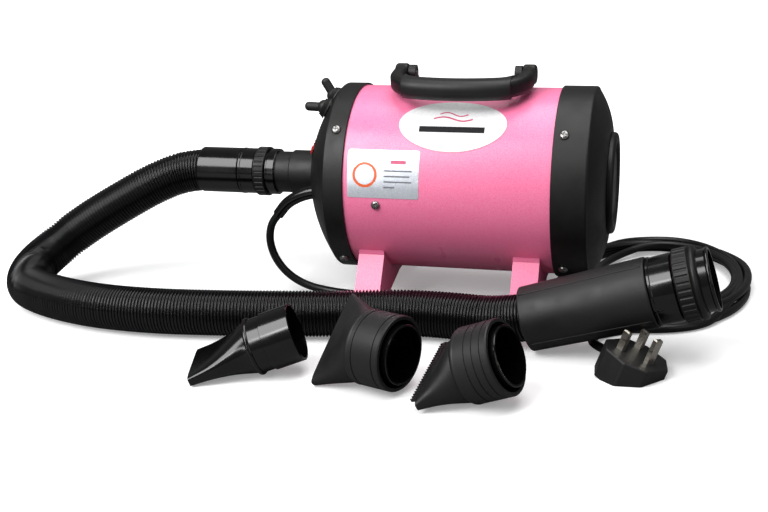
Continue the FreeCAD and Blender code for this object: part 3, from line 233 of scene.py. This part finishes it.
def segment_distance(x, y, p, q):
    """How far a place on the floor is from the straight piece between p and q."""
    dx, dy = q[0] - p[0], q[1] - p[1]
    t = min(1.0, max(0.0, ((x - p[0]) * dx + (y - p[1]) * dy) / (dx * dx + dy * dy)))
    return math.hypot(x - p[0] - t * dx, y - p[1] - t * dy)


def route_curve(name, points, radius):
    """A round cord along a smooth curve with the route's points as its control points."""
    curve = bpy.data.curves.new(name, "CURVE")
    curve.dimensions = "3D"
    spline = curve.splines.new("NURBS")
    spline.points.add(len(points) - 1)
    for control, point in zip(spline.points, points):
        control.co = (*point, 1)
    spline.order_u = 3
    spline.use_endpoint_u = True
    curve.resolution_u = 10
    curve.bevel_depth = radius
    curve.bevel_resolution = 6
    curve.use_fill_caps = True
    obj = bpy.data.objects.new(name, curve)
    bpy.context.scene.collection.objects.link(obj)
    return obj


def curve_line(points):
    """Points along the smooth curve of a route."""
    guide = route_curve("guide", points, 0.0)
    guide.data.use_fill_caps = False
    mesh = bpy.data.meshes.new_from_object(guide)
    line = [v.co.copy() for v in mesh.vertices]
    bpy.data.objects.remove(guide)
    return line


def line_length(line):
    return sum((b - a).length for a, b in zip(line, line[1:]))


def even_frames(line, step):
    """Places an even step apart on a line, each with its direction and an untwisted cross direction."""
    total = line_length(line)
    count = int(round(total / step))
    targets = [total * i / count for i in range(count + 1)]
    frames, walked, index = [], 0.0, 0
    side = None
    for target in targets:
        while index < len(line) - 2 and walked + (line[index + 1] - line[index]).length < target:
            walked += (line[index + 1] - line[index]).length
            index += 1
        edge = line[index + 1] - line[index]
        place = line[index] + edge * ((target - walked) / edge.length)
        ahead = edge.normalized()
        side = ahead.orthogonal() if side is None else side - ahead * side.dot(ahead)
        side.normalize()
        frames.append((target, place, ahead, side))
    return frames


def swept_mesh(name, frames, radius_at, sides):
    """A closed round tube through frames, its radius given along its length in metres."""
    verts, faces = [], []
    for target, place, ahead, side in frames:
        across = ahead.cross(side)
        r = radius_at(target)
        for j in range(sides):
            a = 2 * math.pi * j / sides
            verts.append(place + side * (r * math.cos(a)) + across * (r * math.sin(a)))
    for i in range(len(frames) - 1):
        for j in range(sides):
            k = (j + 1) % sides
            faces.append((i * sides + j, i * sides + k, (i + 1) * sides + k, (i + 1) * sides + j))
    faces.append(tuple(reversed(range(sides))))
    faces.append(tuple((len(frames) - 1) * sides + j for j in range(sides)))
    return mesh_object(name, verts, faces)


def mesh_object(name, verts, faces, smooth=True):
    mesh = bpy.data.meshes.new(name)
    mesh.from_pydata([tuple(v) for v in verts], [], faces)
    bm = bmesh.new()
    bm.from_mesh(mesh)
    bmesh.ops.recalc_face_normals(bm, faces=bm.faces)
    bm.to_mesh(mesh)
    bm.free()
    for polygon in mesh.polygons:
        polygon.use_smooth = smooth
    obj = bpy.data.objects.new(name, mesh)
    bpy.context.scene.collection.objects.link(obj)
    return obj


lead = route_curve("mains_flex", RELIEF_ROUTE + LEAD_ROUTE + coil_points() + TAIL_ROUTE, LEAD_RADIUS / 1000)
dress(lead, "cable")
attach(lead, "dryer")
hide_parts("mains_lead", "mains_coil", "lead_tail")

RIB_PITCH, HOSE_CREST, HOSE_VALLEY = 0.00305, 0.0211, 0.0188
hose_line = curve_line(HOSE_ROUTE)


def rib_radius(along):
    wave = 0.5 + 0.5 * math.cos(2 * math.pi * along / RIB_PITCH)
    return HOSE_VALLEY + (HOSE_CREST - HOSE_VALLEY) * wave ** 0.6


hose = swept_mesh("corrugated_hose", even_frames(hose_line, RIB_PITCH / 6), rib_radius, 40)
dress(hose, "hose_plastic")
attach(hose, "dryer")
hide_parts("air_hose")


# ------------------------------------------------------------------ printed marks on the drum
def drum_point(x, angle, lift):
    """A place on the drum: along its axis, degrees up from +Y, and how far off the skin, in millimetres."""
    a, r = math.radians(angle), DRUM_RADIUS + lift
    return at(x, r * math.cos(a), AXIS_HEIGHT + r * math.sin(a))


PRINT_THICKNESS = 0.06


def drum_print(name, strokes, centre, lift, look):
    """Thin raised print: strips given as pairs of edge points (along, up) in mm round a centre."""
    x0, angle0 = centre
    verts, faces = [], []
    for left, right in strokes:
        first = len(verts)
        for (u0, v0), (u1, v1) in zip(left, right):
            for u, v in ((u0, v0), (u1, v1)):
                for height in (lift - PRINT_THICKNESS, lift):
                    verts.append(drum_point(x0 + u, angle0 - math.degrees(v / DRUM_RADIUS), height))
        count = len(left)
        for i in range(count - 1):
            k, n = first + 4 * i, first + 4 * (i + 1)
            faces += [(k + 1, n + 1, n + 3, k + 3), (k, k + 2, n + 2, n),
                      (k, n, n + 1, k + 1), (k + 2, k + 3, n + 3, n + 2)]
        last = first + 4 * (count - 1)
        faces += [(first, first + 1, first + 3, first + 2), (last, last + 2, last + 3, last + 1)]
    obj = mesh_object(name, verts, faces, smooth=False)
    obj.data.materials.append(PRINTS[look])
    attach(obj, "dryer")


def ribbon(points, width):
    """The two edges of a stroke of even width along points."""
    left, right = [], []
    for i, (u, v) in enumerate(points):
        a, b = points[max(0, i - 1)], points[min(len(points) - 1, i + 1)]
        du, dv = b[0] - a[0], b[1] - a[1]
        size = math.hypot(du, dv) or 1.0
        left.append((u - dv / size * width / 2, v + du / size * width / 2))
        right.append((u + dv / size * width / 2, v - du / size * width / 2))
    return left, right


def ellipse_stroke(a, b, width, middle=(0.0, 0.0), count=72):
    turns = [2 * math.pi * i / count for i in range(count + 1)]
    return tuple([(middle[0] + p * math.cos(t), middle[1] + q * math.sin(t)) for t in turns]
                 for p, q in ((a, b), (a - width, b - width)))


def bar(u0, u1, v, height):
    steps = max(2, int(abs(u1 - u0) / 4) + 1)
    line = [(u0 + (u1 - u0) * i / (steps - 1), v) for i in range(steps)]
    return ribbon(line, height)


def wave(u0, u1, v, rise, width):
    line = [(u0 + (u1 - u0) * i / 30, v + rise * math.sin(2 * math.pi * i / 30)) for i in range(31)]
    return ribbon(line, width)


BADGE_CENTRE, BADGE_LIFT = (3.0, 132.0), 0.82
LABEL_CENTRE, LABEL_LIFT = (-57.0, 164.5), 0.46
drum_print("badge_waves", [wave(-13, 13, 11, 2.2, 1.2), wave(-18, 18, 5.5, 2.2, 1.5)],
           BADGE_CENTRE, BADGE_LIFT, "print_pink")
drum_print("badge_bar", [bar(-30, 30, -6, 6.0)], BADGE_CENTRE, BADGE_LIFT, "print_dark")
drum_print("label_ring", [ellipse_stroke(11.5, 11.5, 2.4, (-17.0, -1.0))],
           LABEL_CENTRE, LABEL_LIFT, "print_orange")
drum_print("label_title", [bar(7, 21, 11, 3.4)], LABEL_CENTRE, LABEL_LIFT, "print_pink")
drum_print("label_lines", [bar(1, 27, 3, 1.3), bar(1, 25, -2, 1.3), bar(1, 27, -7, 1.3),
                           bar(1, 11, -12, 1.3)],
           LABEL_CENTRE, LABEL_LIFT, "print_grey")


# ------------------------------------------------------------------ seams of the rubber grip
GRIP_START, GRIP_END = Vector((82.0, -137.0, 27.2)), Vector((187.8, -138.0, 59.0))
GRIP_RADII = (28.5, 30.5)
SEAM_RADIUS = 0.00045               # m


def grip_point(along, radius, angle):
    """A place on the hand grip: share of its length, radius, and degrees round it from straight up."""
    axis = (GRIP_END - GRIP_START).normalized()
    across = axis.cross(Vector((0, 0, 1))).normalized()
    up = across.cross(axis)
    a = math.radians(angle)
    place = GRIP_START.lerp(GRIP_END, along) + (up * math.cos(a) + across * math.sin(a)) * radius
    return at(*place)


def grip_seam(name, angle):
    """A thin moulding line along the grip."""
    steps, first, last, proud = 24, 0.02, 0.98, 0.05
    line = []
    for i in range(steps + 1):
        share = first + (last - first) * i / steps
        radius = GRIP_RADII[0] + (GRIP_RADII[1] - GRIP_RADII[0]) * share + proud
        line.append(grip_point(share, radius, angle))
    seam = swept_mesh(name, even_frames(line, 0.004), lambda along: SEAM_RADIUS, 8)
    dress(seam, "black_rubber")
    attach(seam, "dryer")


for number, seam_angle in enumerate((24, 122, 204, 302)):
    grip_seam("grip_seam_%d" % number, seam_angle)


# ------------------------------------------------------------------ comb teeth
COMB_MOUTH, COMB_HEADING, COMB_LIFT, COMB_ROLL = (87, -255, 42.8), 12.0, 22.5, 14.0
LIP = -71.0                         # the comb mouth, along the nozzle from its sleeve end
TOOTH_COUNT, TOOTH_PITCH = 24, 3.3


def comb_teeth():
    """Pointed rubber teeth in a row along the upper lip of the comb nozzle."""
    turn = (Matrix.Rotation(math.radians(-COMB_HEADING), 4,
                            "Z") @ Matrix.Rotation(math.radians(-COMB_LIFT), 4, "Y")
            @ Matrix.Rotation(math.radians(COMB_ROLL), 4, "X"))
    verts, faces = [], []
    for i in range(TOOTH_COUNT):
        y, first = (i - (TOOTH_COUNT - 1) / 2) * TOOTH_PITCH, len(verts)
        for z in (2.6, 5.4):
            for x, side in ((LIP + 0.4, -1.45), (LIP + 0.4, 1.45), (LIP - 5.2, 0.25), (LIP - 5.2, -0.25)):
                place = turn @ Vector((x, y + side, z))
                verts.append(at(*(place + Vector(COMB_MOUTH))))
        faces += [tuple(first + k for k in face) for face in (
            (0, 1, 2, 3), (7, 6, 5, 4), (0, 4, 5, 1), (1, 5, 6, 2), (2, 6, 7, 3), (3, 7, 4, 0))]
    teeth = mesh_object("comb_teeth", verts, faces, smooth=False)
    dress(teeth, "black_rubber")
    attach(teeth, "comb_tool")


comb_teeth()


# ------------------------------------------------------------------ studio
def make_floor():
    """A plain pale floor that looks evenly bright, and throws less light back than it shows."""
    size = 6.0
    floor = mesh_object("studio_floor", [(-size, -size, 0), (size, -size, 0), (size, size, 0),
                                         (-size, size, 0)],
                        [(0, 1, 2, 3)], smooth=False)
    floor.location.z = -0.0002
    paint = surface("floor_paint", srgb(240, 240, 241), srgb(246, 246, 246), 0.6, 40, 0.0)
    nodes, links = paint.node_tree.nodes, paint.node_tree.links
    geometry, length = nodes.new("ShaderNodeNewGeometry"), nodes.new("ShaderNodeVectorMath")
    length.operation = "LENGTH"
    glow = nodes.new("ShaderNodeMapRange")
    glow.inputs["From Min"].default_value, glow.inputs["From Max"].default_value = 0.25, 0.9
    glow.inputs["To Min"].default_value, glow.inputs["To Max"].default_value = 0.25, 0.95
    seen = nodes.new("ShaderNodeMath")
    ray = nodes.new("ShaderNodeLightPath")
    tone = nodes.new("ShaderNodeMix")
    seen.operation = "MULTIPLY"
    tone.data_type = "RGBA"
    links.new(geometry.outputs["Position"], length.inputs[0])
    links.new(length.outputs["Value"], glow.inputs["Value"])
    links.new(glow.outputs["Result"], seen.inputs[0])
    links.new(ray.outputs["Is Camera Ray"], seen.inputs[1])
    links.new(seen.outputs[0], nodes["Principled BSDF"].inputs["Emission Strength"])
    links.new(ray.outputs["Is Camera Ray"], tone.inputs[0])
    tone.inputs[6].default_value = srgb(118, 118, 120)
    links.new(nodes["Color Ramp"].outputs[0], tone.inputs[7])
    links.new(tone.outputs[2], nodes["Principled BSDF"].inputs["Base Color"])
    nodes["Principled BSDF"].inputs["Emission Color"].default_value = (1, 1, 1, 1)
    floor.data.materials.append(paint)


LIT_POINT = (0, 0, 0.1)


def area_light(name, place, size, power):
    """A soft white lamp, its size in metres and power in watts, turned to the dryer."""
    light = bpy.data.objects.new(name, bpy.data.lights.new(name, "AREA"))
    light.data.shape = "RECTANGLE"
    light.data.size, light.data.size_y = size
    light.data.energy = power
    light.location = place
    light.rotation_euler = (Vector(LIT_POINT) - Vector(place)).to_track_quat("-Z", "Y").to_euler()
    bpy.context.scene.collection.objects.link(light)


def make_world():
    """A white background whose own light on the object is weak."""
    world = bpy.data.worlds.new("studio")
    bpy.context.scene.world = world
    world.use_nodes = True
    nodes, links = world.node_tree.nodes, world.node_tree.links
    background = nodes["Background"]
    background.inputs["Color"].default_value = (1, 1, 1, 1)
    ray = nodes.new("ShaderNodeLightPath")
    strength = nodes.new("ShaderNodeMapRange")
    strength.inputs["To Min"].default_value = 0.16
    strength.inputs["To Max"].default_value = 1.0
    links.new(ray.outputs["Is Camera Ray"], strength.inputs["Value"])
    links.new(strength.outputs["Result"], background.inputs["Strength"])


make_floor()
make_world()
area_light("key", (-0.8, -0.95, 1.35), (1.1, 1.1), 30)
area_light("top", (0.2, 0.1, 1.6), (1.6, 1.0), 19)
area_light("fill", (1.5, -0.9, 0.9), (1.0, 1.0), 3)
area_light("streak", (-0.6, -1.5, 0.75), (0.15, 1.2), 5)
bpy.context.scene.view_settings.view_transform = "Standard"
bpy.context.scene.view_settings.look = "None"
